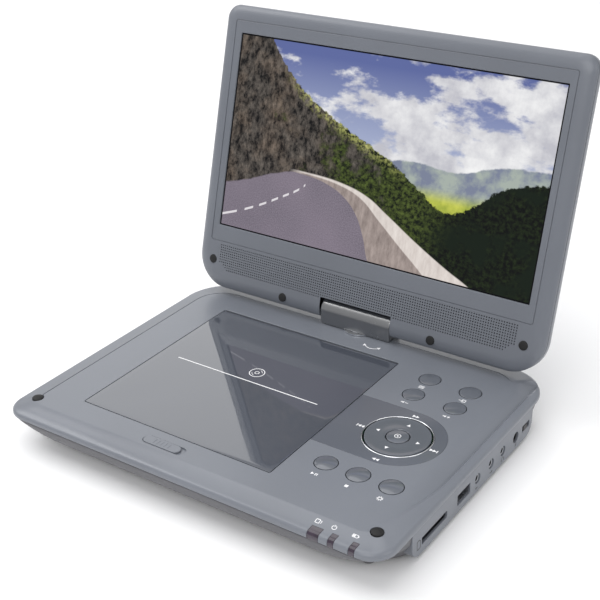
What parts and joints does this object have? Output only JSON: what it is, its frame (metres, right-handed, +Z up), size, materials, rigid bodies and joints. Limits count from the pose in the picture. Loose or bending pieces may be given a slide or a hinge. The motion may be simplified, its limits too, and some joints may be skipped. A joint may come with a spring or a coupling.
{
  "type": "portable dvd player",
  "caption": "Clamshell portable disc player: base with hinged disc door, keys and side ports, and a wide screen on a tilt-and-swivel centre hinge.",
  "frame": {"origin": "on the ground, at the middle of the open player's width and depth", "axes": "+X to the user's right, +Y away from the user, +Z up"},
  "size_m": [0.254, 0.2388, 0.209],
  "materials": {
    "slate_plastic": "satin moulded ABS",
    "dark_plastic": "fine spark-eroded ABS",
    "gloss_plastic": "glossy",
    "black_plastic": "matt",
    "screen_glass": "semi-gloss polariser",
    "light_unit": "satin",
    "steel": "bright zinc-plated",
    "board": "solder mask",
    "cell_wrap": "shrink film",
    "rubber": "matt",
    "window": "tinted, translucent",
    "lens": "coated",
    "chrome_trim": "bright"
  },
  "bodies": {
    "base": {"top_cover": "slate_plastic", "bottom_shell": "dark_plastic", "swivel_plate": "steel", "control_inlay": "gloss_plastic", "keypad_board": "board", "dome_switches": "steel", "main_board": "board", "battery_pack": "cell_wrap", "dc_jack": "black_plastic", "av_jacks": "black_plastic", "usb_port": "steel", "card_slot": "steel", "power_switch": "black_plastic", "loader_chassis": "black_plastic", "loader_dampers": "rubber", "spindle_motor": "steel", "guide_rods": "steel", "sled_motor": "steel", "front_windows": "window", "base_bumpers": "rubber", "rubber_feet": "rubber", "case_screws": "steel", "ring_trim": "chrome_trim", "latch_spring": "steel", "door_spring": "steel"},
    "hinge_head": {"hinge_front_cover": "slate_plastic", "hinge_rear_cover": "slate_plastic", "hinge_frame": "steel", "hinge_pins": "steel", "swivel_post": "steel", "turntable_disc": "chrome_trim", "retaining_clip": "steel"},
    "display": {"screen_bezel": "slate_plastic", "screen_back_cover": "dark_plastic", "lcd_panel": "screen_glass", "lcd_backlight": "light_unit", "display_board": "board", "speaker_left": "black_plastic", "speaker_right": "black_plastic", "bezel_bumpers": "rubber", "hinge_arm_left": "steel", "hinge_arm_right": "steel", "lid_screws": "steel"},
    "disc_door": {"disc_door": "gloss_plastic"},
    "open_latch": {"open_latch": "slate_plastic"},
    "power_knob": {"power_knob": "black_plastic"},
    "menu_button": {"menu_button": "slate_plastic"},
    "source_button": {"source_button": "slate_plastic"},
    "volume_down_button": {"volume_down_button": "slate_plastic"},
    "volume_up_button": {"volume_up_button": "slate_plastic"},
    "play_button": {"play_button": "slate_plastic"},
    "stop_button": {"stop_button": "slate_plastic"},
    "setup_button": {"setup_button": "slate_plastic"},
    "enter_button": {"enter_button": "slate_plastic"},
    "ring_carrier": {"ring_carrier": "dark_plastic"},
    "direction_ring": {"direction_ring": "slate_plastic"},
    "spindle_hub": {"spindle_hub": "dark_plastic"},
    "pickup_sled": {"pickup_sled": "black_plastic", "pickup_lens": "lens"},
    "lead_screw": {"lead_screw": "steel"}
  },
  "joints": [
    {"name": "display_swivel", "type": "hinge", "parent": "base", "child": "hinge_head", "pos_m": [0, 0.0656, 0.026], "axis": [0, 0, 1], "range_deg": [-180, 0]},
    {"name": "display_tilt", "type": "hinge", "parent": "hinge_head", "child": "display", "pos_m": [0, 0.0656, 0.0353], "axis": [-1, 0, 0], "range_deg": [-105.8, 74.2]},
    {"name": "door_open", "type": "hinge", "parent": "base", "child": "disc_door", "pos_m": [-0.02305, 0.03945, 0.0242], "axis": [-1, 0, 0], "range_deg": [0, 65]},
    {"name": "latch_slide", "type": "slide", "parent": "base", "child": "open_latch", "axis": [1, 0, 0], "range_m": [0, 0.003], "stiffness_N_per_m": 300, "springref_m": -0.001},
    {"name": "power_slide", "type": "slide", "parent": "base", "child": "power_knob", "axis": [0, 1, 0], "range_m": [0, 0.0024]},
    {"name": "menu_press", "type": "slide", "parent": "base", "child": "menu_button", "axis": [0, 0, -1], "range_m": [0, 0.0007], "stiffness_N_per_m": 1000, "springref_m": -0.0003},
    {"name": "source_press", "type": "slide", "parent": "base", "child": "source_button", "axis": [0, 0, -1], "range_m": [0, 0.0007], "stiffness_N_per_m": 1000, "springref_m": -0.0003},
    {"name": "volume_down_press", "type": "slide", "parent": "base", "child": "volume_down_button", "axis": [0, 0, -1], "range_m": [0, 0.0007], "stiffness_N_per_m": 1000, "springref_m": -0.0003},
    {"name": "volume_up_press", "type": "slide", "parent": "base", "child": "volume_up_button", "axis": [0, 0, -1], "range_m": [0, 0.0007], "stiffness_N_per_m": 1000, "springref_m": -0.0003},
    {"name": "play_press", "type": "slide", "parent": "base", "child": "play_button", "axis": [0, 0, -1], "range_m": [0, 0.0007], "stiffness_N_per_m": 1000, "springref_m": -0.0003},
    {"name": "stop_press", "type": "slide", "parent": "base", "child": "stop_button", "axis": [0, 0, -1], "range_m": [0, 0.0007], "stiffness_N_per_m": 1000, "springref_m": -0.0003},
    {"name": "setup_press", "type": "slide", "parent": "base", "child": "setup_button", "axis": [0, 0, -1], "range_m": [0, 0.0007], "stiffness_N_per_m": 1000, "springref_m": -0.0003},
    {"name": "enter_press", "type": "slide", "parent": "base", "child": "enter_button", "axis": [0, 0, -1], "range_m": [0, 0.0007], "stiffness_N_per_m": 1000, "springref_m": -0.0003},
    {"name": "ring_rock_fore_aft", "type": "hinge", "parent": "base", "child": "ring_carrier", "pos_m": [0.0816, -0.0274, 0.0226], "axis": [1, 0, 0], "range_deg": [-3, 3], "stiffness_Nm_per_rad": 0.6},
    {"name": "ring_rock_side", "type": "hinge", "parent": "ring_carrier", "child": "direction_ring", "pos_m": [0.0816, -0.0274, 0.0226], "axis": [0, 1, 0], "range_deg": [-3, 3], "stiffness_Nm_per_rad": 0.6},
    {"name": "disc_spin", "type": "hinge", "parent": "base", "child": "spindle_hub", "pos_m": [-0.02305, -0.02505, 0.02], "axis": [0, 0, 1], "continuous": true},
    {"name": "pickup_slide", "type": "slide", "parent": "base", "child": "pickup_sled", "axis": [0, -1, 0], "range_m": [0, 0.031]},
    {"name": "screw_spin", "type": "hinge", "parent": "base", "child": "lead_screw", "pos_m": [0.00295, -0.06505, 0.0104], "axis": [0, -1, 0], "range_deg": [-1, 3722]}
  ],
  "couplings": [
    {"joint": "screw_spin", "follows": "pickup_slide", "rad_per_m": 2094.4}
  ]
}
